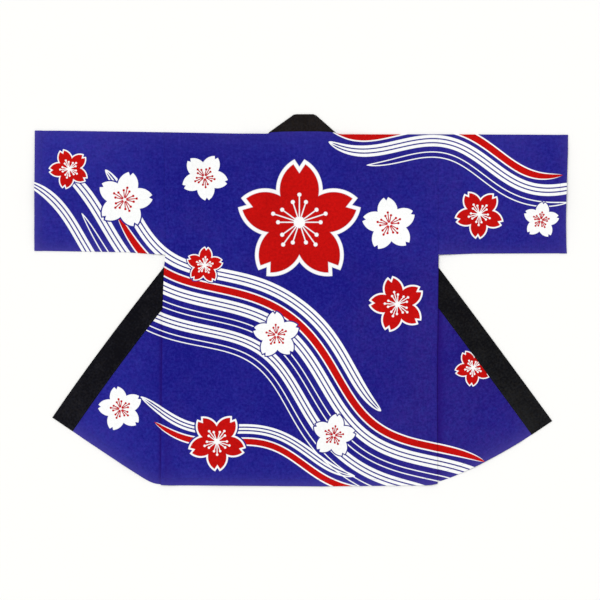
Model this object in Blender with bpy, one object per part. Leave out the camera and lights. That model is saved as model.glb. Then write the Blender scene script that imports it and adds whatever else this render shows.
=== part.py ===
"""Happi coat laid flat on the floor with its back up and both fronts turned out as wings.

Metres. +X runs to the wearer's right, +Y towards the neck, +Z up from the floor at z = 0.
The origin lies on the floor, under the middle of the whole coat's outline.
Each side of the coat is worked out in (out, up): out is the distance from the middle, up is Y.
"""

from collections import namedtuple

import bpy
import numpy as np

# Cloth
CLOTH = 0.0012
GAP = 0.0003
LAYER = CLOTH + GAP
FOLD_MIDDLE_RADIUS = LAYER / 2
FOLD_REACH = CLOTH + GAP / 2
COLLAR_WALL = 0.0024
COLLAR_WIDTH = 0.060

# How softly a layer comes down from what it lies on
COLLAR_SHOULDER = 0.024
COLLAR_DRAPE = 0.055
WING_SHOULDER = 0.020
WING_DRAPE = 0.120
FOLD_SHOULDER = 0.005
FOLD_DRAPE = 0.036
NECK_SUPPORT_UP = 0.300
NECK_DRAPE = 0.060

# Meshing
ARMHOLE_ROWS = 9
SIDE_ROWS = 16
FRONT_COLUMNS = 8
WING_COLUMNS = 7
FOLD_STEPS = 6
SLOPE_COLUMNS = 4
MIDDLE_COLUMNS = 3
SLEEVE_COLUMNS = 7
# Shares of the way from armhole to cuff, closer near the armhole, where the sleeve is lifted
SLEEVE_STATIONS = (0.0, 0.05, 0.12, 0.22, 0.34, 0.48, 0.62, 0.76, 0.88, 1.0)
BAND_STATIONS = 14
BAND_COLUMNS = 2
NECK_STEPS = 3
SHARP_EDGE = 40.0

# Where the collar's three nodes part, measured down the band from the shoulder line
NECK_JOINT = 0.040
# The band's lower end is cut a little out of square: the inner corner is higher by this
END_SLANT = 0.0032
# The rounding where the wing's hem runs into the back's hem
HEM_ROUNDING = 0.011
# The wing starts where the fold has come this far clear of the collar seam
WING_START = 0.010

ShoulderPoint = namedtuple("ShoulderPoint", "place x up")
SHOULDER_LINE = (
    ShoulderPoint("left cuff", -0.6500, 0.4128),
    ShoulderPoint("left armhole", -0.3338, 0.4089),
    ShoulderPoint("left shoulder", -0.1490, 0.4054),
    ShoulderPoint("beside the collar, left", -0.0952, 0.4006),
    ShoulderPoint("left collar corner", -0.0773, 0.4099),
    ShoulderPoint("right collar corner", 0.0859, 0.4069),
    ShoulderPoint("beside the collar, right", 0.0952, 0.4018),
    ShoulderPoint("right armhole", 0.3343, 0.4030),
    ShoulderPoint("right cuff", 0.6500, 0.4025),
)

HemPoint = namedtuple("HemPoint", "place x up")
HEM_LINE = (
    HemPoint("left seam", -0.3420, -0.4508),
    HemPoint("left back", -0.2120, -0.4517),
    HemPoint("middle", 0.0490, -0.4542),
    HemPoint("right back", 0.1490, -0.4530),
    HemPoint("right seam", 0.3330, -0.4500),
)

SeamPoint = namedtuple("SeamPoint", "place up left right")
SIDE_SEAM = (
    SeamPoint("hem", -0.4510, 0.3423, 0.3331),
    SeamPoint("hip", -0.1700, 0.3397, 0.3318),
    SeamPoint("waist", -0.0170, 0.3375, 0.3340),
    SeamPoint("below the sleeve", 0.0850, 0.3334, 0.3352),
    SeamPoint("underarm", 0.1120, 0.3304, 0.3355),
    SeamPoint("shoulder", 0.4090, 0.3338, 0.3343),
)

# Points are (out, up). The fold is the line along which the front is turned out.
Side = namedtuple(
    "Side",
    "name turn cuff_top cuff_bottom sleeve_middle underarm"
    " collar_low collar_high collar_bow fold_top fold_apex fold_low wing_join wing_bulge",
)
LEFT = Side(
    name="left",
    turn=-1,
    cuff_top=(0.6490, 0.4128),
    cuff_bottom=(0.6510, 0.1229),
    sleeve_middle=(0.4270, 0.1200),
    underarm=(0.3304, 0.1131),
    collar_low=(0.6051, -0.2843),
    collar_high=(0.0773, 0.4101),
    collar_bow=0.0071,
    fold_top=0.0781,
    fold_apex=(0.0830, 0.3054),
    fold_low=0.3294,
    wing_join=0.3579,
    wing_bulge=0.0006,
)
RIGHT = Side(
    name="right",
    turn=1,
    cuff_top=(0.6510, 0.4025),
    cuff_bottom=(0.6486, 0.1165),
    sleeve_middle=(0.4270, 0.1151),
    underarm=(0.3355, 0.1107),
    collar_low=(0.6120, -0.2936),
    collar_high=(0.0859, 0.4069),
    collar_bow=0.0040,
    fold_top=0.0854,
    fold_apex=(0.0634, 0.3371),
    fold_low=0.3196,
    wing_join=0.3245,
    wing_bulge=0.0070,
)

# The collar round the back of the neck: its free edge, and how far the way across it leans
NeckStation = namedtuple("NeckStation", "place x up lean")
NECK_STATIONS = (
    NeckStation("left shoulder line", -0.0773, 0.4101, 52.8),
    NeckStation("left corner", -0.0180, 0.4524, 11.0),
    NeckStation("left top", -0.0110, 0.4537, 8.0),
    NeckStation("right top", 0.0300, 0.4537, -8.0),
    NeckStation("right corner", 0.0370, 0.4508, -11.0),
    NeckStation("right shoulder line", 0.0859, 0.4069, -53.1),
)

Finish = namedtuple("Finish", "colour roughness metallic")
BLUE_COTTON = Finish((0.022, 0.017, 0.250, 1.0), 0.85, 0.0)
BLACK_COTTON = Finish((0.009, 0.009, 0.010, 1.0), 0.80, 0.0)


def clear_scene():
    """Remove every object, so that only the coat is there."""
    for thing in list(bpy.data.objects):
        bpy.data.objects.remove(thing, do_unlink=True)


def material(name, finish):
    """A plain Principled finish."""
    made = bpy.data.materials.new(name)
    made.use_nodes = True
    shader = made.node_tree.nodes["Principled BSDF"]
    shader.inputs["Base Color"].default_value = finish.colour
    shader.inputs["Roughness"].default_value = finish.roughness
    shader.inputs["Metallic"].default_value = finish.metallic
    return made


def falls(distance, start, width):
    """1 up to start, then a smooth step down to 0 over width."""
    t = np.clip((distance - start) / width, 0.0, 1.0)
    return 1.0 - t * t * (3.0 - 2.0 * t)


def between(a, b, share):
    """The value a given share of the way from a to b."""
    return a + (b - a) * share


def line_height(table, x):
    """Height of the shoulder line or the hem line at x."""
    return np.interp(x, [p.x for p in table], [p.up for p in table])


def way(side):
    """What turns one side's (out, up) into (x, y)."""
    return np.array([side.turn, 1.0])


def seam_out(side, up):
    """Distance from the middle to the armhole and side seam, at a height."""
    outs = [getattr(p, side.name) for p in SIDE_SEAM]
    return np.interp(up, [p.up for p in SIDE_SEAM], outs)


def collar_frame(side):
    """Low end of the collar's free edge, the way up along it, the way across it and its length."""
    low = np.array(side.collar_low)
    chord = np.array(side.collar_high) - low
    length = np.hypot(*chord)
    along = chord / length
    across = np.array([-abs(along[1]), -abs(along[0])])
    return low, along, across, length


def collar_point(side, distance, inward):
    """(out, up) of a place on the band: distance up its free edge, then inward across it."""
    low, along, across, length = collar_frame(side)
    share = np.clip(distance / length, 0.0, 1.0)
    bowed = inward - 4.0 * side.collar_bow * share * (1.0 - share)
    return low + np.multiply.outer(distance, along) + np.multiply.outer(bowed, across)


def inside_free_edge(side, out, up):
    """How far a place lies inside the collar's free edge, negative outside it."""
    low, along, across, length = collar_frame(side)
    distance = (out - low[0]) * along[0] + (up - low[1]) * along[1]
    share = np.clip(distance / length, 0.0, 1.0)
    inward = (out - low[0]) * across[0] + (up - low[1]) * across[1]
    return inward + 4.0 * side.collar_bow * share * (1.0 - share)


def front_underside(side, out, up):
    """Underside of the second layer: over the collar, lower over the wing, on the floor beyond."""
    inward = inside_free_edge(side, out, up)
    lift = falls(-inward, COLLAR_SHOULDER, COLLAR_DRAPE)
    over_collar = falls(inward - COLLAR_WIDTH, WING_SHOULDER, WING_DRAPE)
    return lift * (LAYER + (COLLAR_WALL - CLOTH) * over_collar)


def body_up(x, row):
    """Height of a place on the body, from the shoulder line at row 0 to the hem line at row 1."""
    shoulder = line_height(SHOULDER_LINE, x) - FOLD_REACH
    return between(shoulder, line_height(HEM_LINE, x), row)


def row_at(x, up):
    """The body row that passes a given height at x."""
    return (body_up(x, 0.0) - up) / (body_up(x, 0.0) - body_up(x, 1.0))


def body_rows():
    """The rows of the body's grids, one of them at the underarm."""
    underarm = row_at(-LEFT.underarm[0], LEFT.underarm[1])
    armhole = np.linspace(0.0, underarm, ARMHOLE_ROWS + 1)
    side = np.linspace(underarm, 1.0, SIDE_ROWS + 1)
    return np.concatenate([armhole, side[1:]])


def fold_out(side, row):
    """Distance from the middle to the inner edge of the part that isn't turned out."""
    apex_row = row_at(side.turn * side.fold_apex[0], side.fold_apex[1])
    return np.interp(row, [0.0, apex_row, 1.0], [side.fold_top, side.fold_apex[0], side.fold_low])


def front_grid(side):
    """(out, up) grids of the part that isn't turned out: from the side seam to the fold."""
    rows = body_rows()
    shares = np.linspace(0.0, 1.0, FRONT_COLUMNS + 1)
    seam = seam_out(side, body_up(side.turn * side.underarm[0], rows)) - GAP / 2
    out = between(seam[:, None], fold_out(side, rows)[:, None], shares[None, :])
    up = body_up(side.turn * out, rows[:, None])
    return out, up


def closed_wall(name, finish, middle, normal, thickness, present=None, crossed=None, around=False):
    """A wall on a grid of middle points, half its thickness to each side, closed round its edges.

    present says which cells of the grid are cloth, and crossed which are split the other way.
    """
    rows, columns = middle.shape[:2]
    index = np.arange(rows * columns).reshape(rows, columns)
    right = np.roll(index, -1, axis=1)
    if not around:
        index = index[:, :-1]
        right = right[:, :-1]
    cells = (rows - 1, index.shape[1])
    if present is None:
        present = np.ones(cells, bool)
    if crossed is None:
        crossed = np.zeros(cells, bool)
    corners = np.stack([index[:-1], right[:-1], right[1:], index[1:]], axis=-1)
    corners = np.where(crossed[..., None], np.roll(corners, -1, axis=-1), corners)[present]
    outer = np.concatenate([corners[:, [0, 1, 2]], corners[:, [0, 2, 3]]])
    count = rows * columns
    inner = outer[:, ::-1] + count
    ways = np.concatenate([outer[:, [0, 1]], outer[:, [1, 2]], outer[:, [2, 0]]])
    codes = ways[:, 0] * count + ways[:, 1]
    rim = ways[~np.isin(codes, ways[:, 1] * count + ways[:, 0])]
    p = rim[:, 0]
    q = rim[:, 1]
    rim_faces = [np.stack([q, p, p + count], axis=1), np.stack([q, p + count, q + count], axis=1)]
    faces = np.concatenate([outer, inner, *rim_faces])
    points = np.concatenate([
        (middle + normal * thickness / 2).reshape(-1, 3),
        (middle - normal * thickness / 2).reshape(-1, 3),
    ])
    used, faces = np.unique(faces, return_inverse=True)
    points = points[used]
    faces = faces.reshape(-1, 3)
    first, second, third = (points[faces[:, k]] for k in range(3))
    if np.einsum("ij,ij->i", first, np.cross(second, third)).sum() < 0.0:
        faces = faces[:, ::-1]
    mesh = bpy.data.meshes.new(name)
    mesh.from_pydata(points.tolist(), [], faces.tolist())
    mesh.materials.append(finish)
    mesh.shade_smooth()
    mesh.set_sharp_from_angle(angle=np.radians(SHARP_EDGE))
    made = bpy.data.objects.new(name, mesh)
    bpy.context.scene.collection.objects.link(made)
    return made


def points_at(side, out, up, height):
    """World points of one side's places."""
    return np.stack(np.broadcast_arrays(side.turn * out, up, height), axis=-1)


def upright(shape):
    """Normals that point straight up, one for each grid place."""
    normal = np.zeros(shape + (3,))
    normal[..., 2] = 1.0
    return normal


def wing_hem_up(side, out):
    """Height of the turned-out hem: the back's hem level, then a slant up to the collar's end."""
    corner = collar_point(side, END_SLANT, COLLAR_WIDTH)
    hem = line_height(HEM_LINE, side.turn * side.fold_low)
    share = (out - side.wing_join) / (corner[0] - side.wing_join)
    slant = between(hem, corner[1], share) - 4.0 * side.wing_bulge * share * (1.0 - share)
    return (hem + slant + np.sqrt((hem - slant) ** 2 + HEM_ROUNDING**2)) / 2


def fold_bend(side, fold, lift):
    """Points and normals half round the fold: from the second layer down to the wing's layer."""
    run = fold[-1] - fold[0]
    run /= np.hypot(*run)
    beyond = np.array([-abs(run[1]), -abs(run[0])])
    angle = np.radians(np.linspace(90.0, -90.0, FOLD_STEPS + 1))[1:]
    radius = lift[:, None] / 2
    bend = fold[:, None, :] + beyond * (radius * np.cos(angle))[..., None]
    height = CLOTH / 2 + radius * (1.0 + np.sin(angle))
    points = points_at(side, bend[..., 0], bend[..., 1], height)
    normal = np.zeros(points.shape)
    normal[..., 0] = side.turn * beyond[0] * np.cos(angle)
    normal[..., 1] = beyond[1] * np.cos(angle)
    normal[..., 2] = np.sin(angle)
    return points, normal


def wing_sheet(side, fold, seam, share):
    """Points of the wing: straight rows from the fold to the collar seam, sagging to its hem."""
    shares = np.linspace(0.0, 1.0, WING_COLUMNS + 1)[1:]
    wing = between(fold[:, None, :], seam[:, None, :], shares[None, :, None])
    drop = wing_hem_up(side, wing[-1, :, 0]) - wing[-1, :, 1]
    wing[..., 1] += share[:, None] ** 2 * (drop - drop[-1] * shares)
    return points_at(side, wing[..., 0], wing[..., 1], CLOTH / 2)


def make_front(side, finish):
    """One front: flat under the back, folded over along the slanting fold, then out as the wing."""
    out, up = front_grid(side)
    low = front_underside(side, out, up)
    flat = points_at(side, out, up, low + CLOTH / 2)
    # The top row stops short of the back, which is folded over the shoulder
    flat[0, :, 1] -= GAP

    rows = body_rows()
    fold = np.stack([out[:, -1], up[:, -1]], axis=-1)
    clear = inside_free_edge(side, out[:, -1], up[:, -1]) - COLLAR_WIDTH
    first = int(np.argmax(clear > WING_START))
    share = np.clip((rows - rows[first]) / (1.0 - rows[first]), 0.0, 1.0)
    reach = (fold[first] - side.collar_low) @ collar_frame(side)[1]
    seam = collar_point(side, between(reach, END_SLANT, share), COLLAR_WIDTH + GAP)
    bend, bend_normal = fold_bend(side, fold, low[:, -1])
    wing = wing_sheet(side, fold, seam, share)

    middle = np.concatenate([flat, bend, wing], axis=1)
    normal = np.concatenate([upright(flat.shape[:2]), bend_normal, -upright(wing.shape[:2])], axis=1)
    present = np.ones((rows.size - 1, middle.shape[1] - 1), bool)
    present[:first, FRONT_COLUMNS:] = False
    return closed_wall("front_" + side.name, finish, middle, normal, CLOTH, present)


def back_columns():
    """X of each column of the back at each row, and its underside's height."""
    rows = body_rows()
    offsets = FOLD_SHOULDER + FOLD_DRAPE * np.linspace(0.0, 1.0, SLOPE_COLUMNS)
    sides = {}
    for side in (LEFT, RIGHT):
        out, up = front_grid(side)
        low = front_underside(side, out, up) + LAYER
        step_out = out[:, -1:] - offsets
        step_up = body_up(side.turn * step_out, rows[:, None])
        rest = neck_underside(step_up)
        step_low = rest + (low[:, -1:] - rest) * falls(offsets, FOLD_SHOULDER, FOLD_DRAPE)
        sides[side.name] = (
            side.turn * np.concatenate([out, step_out], axis=1),
            np.concatenate([low, step_low], axis=1),
        )
    left_x, left_low = sides["left"]
    right_x, right_low = sides["right"]
    shares = np.linspace(0.0, 1.0, MIDDLE_COLUMNS + 2)[1:-1]
    middle_x = between(left_x[:, -1:], right_x[:, -1:], shares)
    middle_low = neck_underside(body_up(middle_x, rows[:, None]))
    x = np.concatenate([left_x, middle_x, right_x[:, ::-1]], axis=1)
    low = np.concatenate([left_low, middle_low, right_low[:, ::-1]], axis=1)
    return x, low


def neck_underside(up):
    """Underside of the back between the folds: over the collar at the neck, then on the floor."""
    return (COLLAR_WALL + GAP) * falls(NECK_SUPPORT_UP - up, 0.0, NECK_DRAPE)


def make_back(finish):
    """The back panel, with its shoulders folded over the fronts' upper edges."""
    rows = body_rows()
    x, low = back_columns()
    up = body_up(x, rows[:, None])
    middle = np.stack([x, up, low + CLOTH / 2], axis=-1)
    normal = upright(x.shape)

    column = np.arange(x.shape[1])
    curled = np.minimum(column, column[::-1]) <= FRONT_COLUMNS
    turn = np.radians(np.linspace(180.0, 0.0, FOLD_STEPS + 1)[:-1])[:, None]
    run = FOLD_MIDDLE_RADIUS * np.where(curled, np.sin(turn), turn)
    drop = FOLD_MIDDLE_RADIUS * np.where(curled, 1.0 - np.cos(turn), 0.0)
    edge = np.broadcast_to(middle[0], run.shape + (3,)).copy()
    edge[..., 1] += run
    edge[..., 2] -= drop
    edge_normal = np.zeros(edge.shape)
    edge_normal[..., 1] = np.where(curled, np.sin(turn), 0.0)
    edge_normal[..., 2] = np.where(curled, np.cos(turn), 1.0)

    middle = np.concatenate([edge, middle])
    normal = np.concatenate([edge_normal, normal])
    crossed = middle[1:, 1:, 0] > 0.0
    return closed_wall("back", finish, middle, normal, CLOTH, crossed=crossed)


def make_sleeve(side, finish):
    """A flat tube: two layers, folded along the top and seamed along the bottom."""
    shares = np.array(SLEEVE_STATIONS)
    across = np.linspace(0.0, 1.0, SLEEVE_COLUMNS + 1)
    step = np.radians(np.linspace(0.0, 180.0, FOLD_STEPS + 1)[1:-1])
    flat = np.zeros(across.size)
    # Round the section: down the upper layer, round the seam, up the lower layer, round the fold
    down = np.concatenate([across, np.ones(step.size), across[::-1], np.zeros(step.size)])
    reach = np.concatenate([flat, -np.sin(step), flat, np.sin(step)])
    level = np.concatenate([flat + 1.0, np.cos(step), flat - 1.0, -np.cos(step)])

    guess_out = between(side.underarm[0], side.cuff_bottom[0], shares)
    top = line_height(SHOULDER_LINE, side.turn * guess_out)
    stops = (side.underarm, side.sleeve_middle, side.cuff_bottom)
    bottom = np.interp(guess_out, [p[0] for p in stops], [p[1] for p in stops])
    top_fold = (top - FOLD_REACH)[:, None]
    bottom_seam = (bottom + FOLD_REACH)[:, None]
    up = between(top_fold, bottom_seam, down[None, :])

    armhole = seam_out(side, up) + GAP / 2
    cuff_share = (up - side.cuff_bottom[1]) / (side.cuff_top[1] - side.cuff_bottom[1])
    cuff = between(side.cuff_bottom[0], side.cuff_top[0], cuff_share)
    out = between(armhole, cuff, shares[:, None])
    lift = front_underside(side, out, up)
    height = lift + CLOTH / 2 + FOLD_MIDDLE_RADIUS * (1.0 + level)
    middle = points_at(side, out, up + FOLD_MIDDLE_RADIUS * reach, height)
    normal = np.zeros(middle.shape)
    normal[..., 1] = reach
    normal[..., 2] = level
    return closed_wall("sleeve_" + side.name, finish, middle, normal, CLOTH, around=True)


def flat_strip(name, finish, free_edge, seam_edge):
    """A flat band on the floor between two edges, each a row of (x, up) points."""
    shares = np.linspace(0.0, 1.0, BAND_COLUMNS + 1)
    plan = between(free_edge[:, None, :], seam_edge[:, None, :], shares[None, :, None])
    height = np.full(plan.shape[:2] + (1,), COLLAR_WALL / 2)
    middle = np.concatenate([plan, height], axis=2)
    return closed_wall(name, finish, middle, upright(plan.shape[:2]), COLLAR_WALL)


def make_collar_band(side, finish):
    """The straight run of the collar, from its lower end to the joint under the back."""
    length = collar_frame(side)[3]
    shares = np.linspace(0.0, 1.0, BAND_STATIONS + 1)
    end = length - NECK_JOINT
    free_edge = collar_point(side, end * shares, np.zeros(shares.size))
    seam_distance = between(END_SLANT, end, shares)
    seam_edge = collar_point(side, seam_distance, np.full(shares.size, COLLAR_WIDTH))
    return flat_strip("collar_" + side.name, finish, free_edge * way(side), seam_edge * way(side))


def make_collar_neck(finish):
    """The collar round the back of the neck, which lies out beyond the shoulder line."""
    places = np.array([(s.x, s.up) for s in NECK_STATIONS])
    leans = np.array([s.lean for s in NECK_STATIONS])
    stations = np.arange(len(NECK_STATIONS))
    fine = np.linspace(0.0, stations[-1], NECK_STEPS * stations[-1] + 1)
    free_edge = np.stack([np.interp(fine, stations, places[:, k]) for k in (0, 1)], axis=-1)
    lean = np.radians(np.interp(fine, stations, leans))
    across = np.stack([np.sin(lean), -np.cos(lean)], axis=-1)
    seam_edge = free_edge + COLLAR_WIDTH * across
    ends = []
    for side in (LEFT, RIGHT):
        length = collar_frame(side)[3]
        distance = np.array([length - NECK_JOINT + GAP])
        free = collar_point(side, distance, np.zeros(1)) * way(side)
        seam = collar_point(side, distance, np.full(1, COLLAR_WIDTH)) * way(side)
        ends.append((free, seam))
    free_edge = np.concatenate([ends[0][0], free_edge, ends[1][0]])
    seam_edge = np.concatenate([ends[0][1], seam_edge, ends[1][1]])
    return flat_strip("collar_neck", finish, free_edge, seam_edge)


def make_coat():
    """Every piece of the coat, in the order in which it is laid down."""
    clear_scene()
    blue = material("blue_cotton", BLUE_COTTON)
    black = material("black_cotton", BLACK_COTTON)
    make_collar_neck(black)
    for side in (LEFT, RIGHT):
        make_collar_band(side, black)
        make_front(side, blue)
        make_sleeve(side, blue)
    make_back(blue)


make_coat()
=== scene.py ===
"""Happi coat laid flat on the floor, back up: thin cloth, collar and stitches over the solids.

Metres. +X runs to the wearer's right, +Y towards the neck, +Z up from the floor at z = 0.
Each side of the coat is worked out in (out, up): out is the distance from the middle, up is Y.
"""

from collections import namedtuple

import bpy
import numpy as np
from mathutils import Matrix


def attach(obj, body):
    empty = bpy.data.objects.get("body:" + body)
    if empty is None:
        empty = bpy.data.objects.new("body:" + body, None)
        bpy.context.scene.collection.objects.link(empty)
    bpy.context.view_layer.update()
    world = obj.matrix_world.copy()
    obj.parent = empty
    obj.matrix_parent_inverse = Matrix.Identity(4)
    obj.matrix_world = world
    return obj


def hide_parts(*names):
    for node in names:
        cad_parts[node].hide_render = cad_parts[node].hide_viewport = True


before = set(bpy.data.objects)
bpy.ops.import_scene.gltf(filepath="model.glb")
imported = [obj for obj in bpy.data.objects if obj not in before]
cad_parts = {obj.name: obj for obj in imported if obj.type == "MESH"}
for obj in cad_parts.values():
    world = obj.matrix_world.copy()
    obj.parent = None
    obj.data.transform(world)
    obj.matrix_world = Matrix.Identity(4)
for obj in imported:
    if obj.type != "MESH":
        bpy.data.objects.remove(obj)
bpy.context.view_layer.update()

# The solids' walls and the gap between them, which set the levels that the cloth lies on
WALL = 0.0012
GAP = 0.0003
LAYER = WALL + GAP
FOLD_REACH = WALL + GAP / 2
COLLAR_WALL = 0.0024

# Where cloth comes down from one level to the next: how far it stays up, then how far it slopes
COLLAR_SHOULDER = 0.024
COLLAR_DRAPE = 0.055
WING_SHOULDER = 0.02
WING_DRAPE = 0.12
FOLD_SHOULDER = 0.005
FOLD_DRAPE = 0.036
NECK_SUPPORT_UP = 0.3
NECK_DRAPE = 0.06

# The collar band, and the corners of the wings beside it
COLLAR_WIDTH = 0.06
NECK_JOINT = 0.04
END_SLANT = 0.0032
HEM_ROUNDING = 0.0105
WING_START = 0.01
COLLAR_SHOWS = 0.345

# The thin cloth, its turned hems, its seams and their allowances
SHEET = 0.0007
SEAM_GAP = 0.00006
FLOOR_CLEAR = 0.00005
THINNEST_EDGE = 0.25
HEM_DEPTH = 0.018
HEM_EXTRA = 0.0007
HEM_EDGE = 0.0016
SEAM_DIP = 0.0004
SEAM_DIP_WIDTH = 0.0025
# Width of the painted shade along each seam
SEAM_SHADE_WIDTH = 0.0022
ALLOWANCE = 0.011
ALLOWANCE_LIFT = 0.0003
ALLOWANCE_START = 0.0012
ALLOWANCE_RISE = 0.003
ALLOWANCE_FALL = 0.0022

# How high loose cloth lies: the least, and what its waves add
BODY_LOOSE = (0.0004, 0.0034)
WING_LOOSE = (0.0001, 0.0022)
CREASE_SCALE = 1.8
CREASE_BEND = 0.06

# The stitches: their distance inside the turned edge and the collar's seam edge, and their size
HEM_STITCH_INSET = 0.0015
COLLAR_STITCH_INSET = 0.0035
STITCH_PITCH = 0.0036
STITCH_LENGTH = 0.0026
THREAD_RADIUS = 0.00028

# The cloth's grids: their cells, the lengths that these are counted on, and the back's corners
CELL = 0.005
HIDDEN_CELL = 0.01
FOLD_STEPS = 10
HIDDEN_REACH = 0.25
WING_REACH = 0.26
SLEEVE_REACH = 0.316
SLEEVE_DEPTH = 0.29
BACK_TOP = 0.4077
BACK_HEM = -0.45

# Offsets from an edge where a grid is drawn closer
FOLD_EDGE_STEPS = (0.0, 0.002)
EDGE_STEPS = (0.0, 0.0003, 0.0008, 0.0015, 0.0026)
SEAM_STEPS = (0.0, 0.0004, 0.0009, 0.0015, 0.0022, 0.003, 0.0042, 0.008, 0.01, 0.0125, 0.016)
HEM_STEPS = (
    0.0, 0.0002, 0.0006, 0.0012, 0.0018, 0.003, 0.006, 0.01, 0.014, 0.0165, 0.018, 0.0188,
    0.0197, 0.021, 0.024,
)


# The shoulder line from cuff to cuff: each place, its x and its height
SHOULDER_LINE = (
    ("left cuff", -0.65, 0.4138),
    ("left sleeve", -0.583, 0.4137),
    ("left armhole", -0.3338, 0.41),
    ("left shoulder", -0.149, 0.4066),
    ("beside the collar, left", -0.087, 0.4062),
    ("left collar corner", -0.078, 0.4068),
    ("neck, left", -0.066, 0.4086),
    ("neck, left of the middle", -0.04, 0.4099),
    ("neck, middle", 0.005, 0.4104),
    ("neck, right of the middle", 0.045, 0.4103),
    ("neck, right", 0.07, 0.4089),
    ("right collar corner", 0.086, 0.4068),
    ("beside the collar, right", 0.098, 0.4048),
    ("right armhole", 0.3343, 0.4048),
    ("right sleeve", 0.52, 0.4042),
    ("right cuff", 0.65, 0.4034),
)

# The hem line from seam to seam, likewise
HEM_LINE = (
    ("left seam", -0.342, -0.4508),
    ("beside the left seam", -0.32, -0.4517),
    ("left back", -0.212, -0.452),
    ("middle", 0.049, -0.4542),
    ("right back", 0.149, -0.4532),
    ("beside the right seam", 0.3, -0.4518),
    ("round to the right seam", 0.318, -0.4506),
    ("right seam", 0.333, -0.4474),
)

# The side seams and armholes: a place, its height, and how far out it is on the left and the right
SIDE_SEAM = (
    ("hem", -0.451, 0.3423, 0.3331),
    ("hip", -0.17, 0.3397, 0.3318),
    ("waist", -0.017, 0.3375, 0.334),
    ("below the sleeve", 0.085, 0.3334, 0.3352),
    ("underarm", 0.112, 0.3304, 0.3355),
    ("shoulder", 0.409, 0.3338, 0.3343),
)

# The collar's free edge round the neck: a place, its x, its height and the way its band leans
NECK_STATIONS = (
    ("left shoulder line", -0.0773, 0.4101, 52.8),
    ("left corner", -0.018, 0.4524, 11.0),
    ("left top", -0.011, 0.4537, 8.0),
    ("right top", 0.03, 0.4537, -8.0),
    ("right corner", 0.037, 0.4508, -11.0),
    ("right shoulder line", 0.0866, 0.4073, -53.1),
)

# Each side's measures: a field, its value on the left and on the right; a place is (out, up)
SIDES = (
    ("name", "left", "right"),
    ("turn", -1, 1),
    ("cuff_top", (0.6494, 0.4128), (0.6513, 0.4025)),
    ("cuff_bottom", (0.6504, 0.1202), (0.6484, 0.114)),
    ("cuff_bow", 0.0, 0.0033),
    ("sleeve_middle", (0.427, 0.1168), (0.427, 0.1133)),
    ("underarm", (0.3304, 0.1101), (0.3355, 0.1103)),
    ("collar_low", (0.6067, -0.2864), (0.6128, -0.2947)),
    ("collar_high", (0.0773, 0.4101), (0.0866, 0.4073)),
    ("collar_bow", 0.007, 0.003),
    ("bow_lean", 2.0, 1.0),
    ("fold_top", 0.0781, 0.0854),
    ("fold_apex", (0.083, 0.3054), (0.0634, 0.3371)),
    ("fold_low", 0.3294, 0.3196),
    ("wing_join", 0.3603, 0.3245),
    ("wing_bulge", 0.0005, 0.008),
    # Painted shade on the wing beside the body's edge: how dark, then how far it reaches
    ("edge_shade", 0.75, 0.68),
    ("edge_reach", 0.0055, 0.016),
    ("wear", 1.0, 0.6),
)
side_fields, left_values, right_values = zip(*SIDES)
Side = namedtuple("Side", side_fields)
LEFT = Side(*left_values)
RIGHT = Side(*right_values)

# Soft ridges, with a positive height, and troughs: a place, then x and height at one end and at
# the other, the width and the height above the cloth
CREASES = {
    "back": (
        ("left shoulder blade", -0.3, 0.3, -0.1, 0.06, 0.03, 0.0009),
        ("right shoulder blade", 0.3, 0.24, 0.14, -0.02, 0.026, 0.0007),
        ("small of the back", -0.18, -0.02, 0.16, -0.07, 0.034, 0.0008),
        ("left of the hem", -0.2, -0.47, -0.15, -0.18, 0.026, 0.0013),
        ("middle of the hem", 0.06, -0.48, 0.02, -0.26, 0.022, 0.001),
        ("right of the hem", 0.24, -0.48, 0.225, -0.13, 0.03, 0.0014),
        ("below the left arm", -0.33, 0.06, -0.22, -0.02, 0.014, 0.0008),
        ("below the right arm", 0.33, 0.07, 0.25, -0.03, 0.016, 0.0007),
    ),
    "sleeve_left": (
        ("slant near the cuff", -0.52, 0.2, -0.405, 0.148, 0.006, 0.0009),
        ("beside the slant", -0.505, 0.175, -0.42, 0.136, 0.006, -0.0006),
        ("from the underarm", -0.34, 0.125, -0.45, 0.27, 0.018, 0.0008),
        ("cuff opening", -0.68, 0.25, -0.52, 0.29, 0.04, 0.0026),
    ),
    "sleeve_right": (
        ("cuff opening", 0.68, 0.27, 0.51, 0.24, 0.044, 0.003),
        ("from the underarm", 0.345, 0.12, 0.43, 0.24, 0.016, 0.0009),
        ("along the top", 0.36, 0.35, 0.56, 0.34, 0.022, 0.0006),
    ),
    "wing_left": (
        ("middle of the wing", -0.39, -0.3, -0.5, -0.25, 0.02, 0.0005),
        ("hem", -0.44, -0.43, -0.4, -0.25, 0.018, 0.001),
    ),
    "wing_right": (
        ("beside the collar", 0.38, -0.03, 0.545, -0.27, 0.0055, 0.0006),
        ("second beside the collar", 0.36, -0.05, 0.5, -0.262, 0.006, -0.0004),
        ("third beside the collar", 0.35, -0.1, 0.47, -0.3, 0.007, 0.0005),
        ("hem", 0.42, -0.43, 0.4, -0.28, 0.02, 0.0011),
    ),
}

# The slow rise and fall of cloth that lies loose: each wave's heading, length, start and share
WAVES = (
    (20.0, 0.31, 0.4, 0.3),
    (75.0, 0.23, 2.1, 0.25),
    (128.0, 0.171, 4.0, 0.2),
    (47.0, 0.117, 1.2, 0.15),
    (158.0, 0.083, 5.3, 0.1),
)


def falls(distance, start, width):
    """1 up to start, then a smooth step down to 0 over width."""
    t = np.clip((distance - start) / width, 0.0, 1.0)
    return 1.0 - t * t * (3.0 - 2.0 * t)


def rises(distance, width):
    """0 at 0, then a smooth step up to 1 over width."""
    return 1.0 - falls(distance, 0.0, width)


def between(a, b, share):
    """The value a given share of the way from a to b."""
    return a + (b - a) * share


def bell(distance, width):
    """1 at 0, then a smooth fall to nothing a few widths away on either side."""
    return np.exp(-((distance / width) ** 2))


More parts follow.
